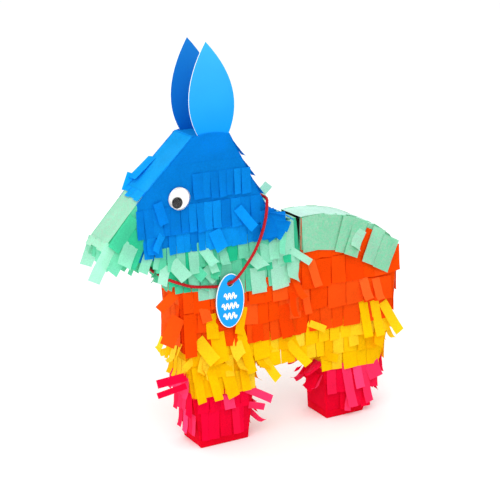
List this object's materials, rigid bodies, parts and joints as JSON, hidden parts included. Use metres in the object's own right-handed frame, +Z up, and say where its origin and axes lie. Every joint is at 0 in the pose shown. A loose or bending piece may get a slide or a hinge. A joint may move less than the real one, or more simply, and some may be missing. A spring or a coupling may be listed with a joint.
{
  "type": "donkey pinata",
  "caption": "Free-standing donkey pinata: hollow card carton dressed in fringed tissue, with a hinged fill lid, card ears, loose-pupil eyes and a tag on a neck cord.",
  "frame": {"origin": "middle of the bounding box's underside, on the surface that the soles stand on, measured without the neck cord, knot and tag", "axes": "+Z up, nose towards -X, the donkey's left side towards -Y"},
  "size_m": [0.2918, 0.0469, 0.3375],
  "materials": {
    "card": "matt uncoated greyboard",
    "paper_tape": "matt gummed paper",
    "ear_card": "satin printed card, white core",
    "eye_white": "satin",
    "pupil_black": "gloss",
    "cord_red": "twisted cotton",
    "tag_card": "satin printed card, white edge",
    "tissue_blue": "matt crepe tissue",
    "tissue_light_blue": "matt crepe tissue",
    "tissue_mint": "matt crepe tissue",
    "tissue_orange": "matt crepe tissue",
    "tissue_yellow": "matt crepe tissue",
    "tissue_pink": "matt crepe tissue",
    "eye_clear": "clear gloss plastic"
  },
  "bodies": {
    "carton": {"left_side_panel": "card", "right_side_panel": "card", "crown_strip": "card", "face_strip": "card", "muzzle_strip": "card", "jaw_strip": "card", "chest_strip": "card", "front_sole": "card", "front_leg_rear_strip": "card", "belly_strip": "card", "rear_leg_front_strip": "card", "rear_sole": "card", "rump_strip": "card", "withers_strip": "card", "nape_strip": "card", "lid_left_lip": "card", "lid_right_lip": "card", "hinge_tape": "paper_tape", "left_ear": "ear_card", "right_ear": "ear_card", "left_eye_backing": "eye_white", "right_eye_backing": "eye_white", "left_eye_dome": "eye_clear", "right_eye_dome": "eye_clear", "neck_cord": "cord_red", "cord_knot": "cord_red", "crown_paper": "tissue_blue", "forehead_paper": "tissue_light_blue", "muzzle_paper": "tissue_mint", "nape_paper": "tissue_blue", "nape_flap": "tissue_blue", "left_blue_fringe": "tissue_blue", "right_blue_fringe": "tissue_blue", "left_muzzle_fringe": "tissue_mint", "right_muzzle_fringe": "tissue_mint", "front_muzzle_fringe": "tissue_mint", "jaw_paper": "tissue_mint", "left_mint_fringe": "tissue_mint", "right_mint_fringe": "tissue_mint", "withers_paper": "tissue_mint", "front_orange_fringe": "tissue_orange", "rear_orange_fringe": "tissue_orange", "front_yellow_fringe": "tissue_yellow", "rear_yellow_fringe": "tissue_yellow", "front_pink_fringe": "tissue_pink", "rear_pink_fringe": "tissue_pink"},
    "fill_lid": {"lid_top": "card", "lid_left_cheek": "card", "lid_right_cheek": "card", "lid_paper": "tissue_mint", "left_lid_fringe": "tissue_mint", "right_lid_fringe": "tissue_mint"},
    "left_pupil": {"left_pupil": "pupil_black"},
    "right_pupil": {"right_pupil": "pupil_black"},
    "tag": {"tag": "tag_card"}
  },
  "joints": [
    {"name": "lid_hinge", "type": "hinge", "parent": "carton", "child": "fill_lid", "pos_m": [0.1435, 0, 0.15], "axis": [0, 1, 0], "range_deg": [0, 110]},
    {"name": "left_pupil_roll", "type": "hinge", "parent": "carton", "child": "left_pupil", "pos_m": [-0.069, -0.0175, 0.217], "axis": [0, 1, 0], "continuous": true},
    {"name": "right_pupil_roll", "type": "hinge", "parent": "carton", "child": "right_pupil", "pos_m": [-0.069, 0.0175, 0.217], "axis": [0, 1, 0], "continuous": true},
    {"name": "tag_swing", "type": "hinge", "parent": "carton", "child": "tag", "pos_m": [-0.026, -0.0206, 0.142], "axis": [0, 1, 0], "range_deg": [-35, 35]}
  ]
}
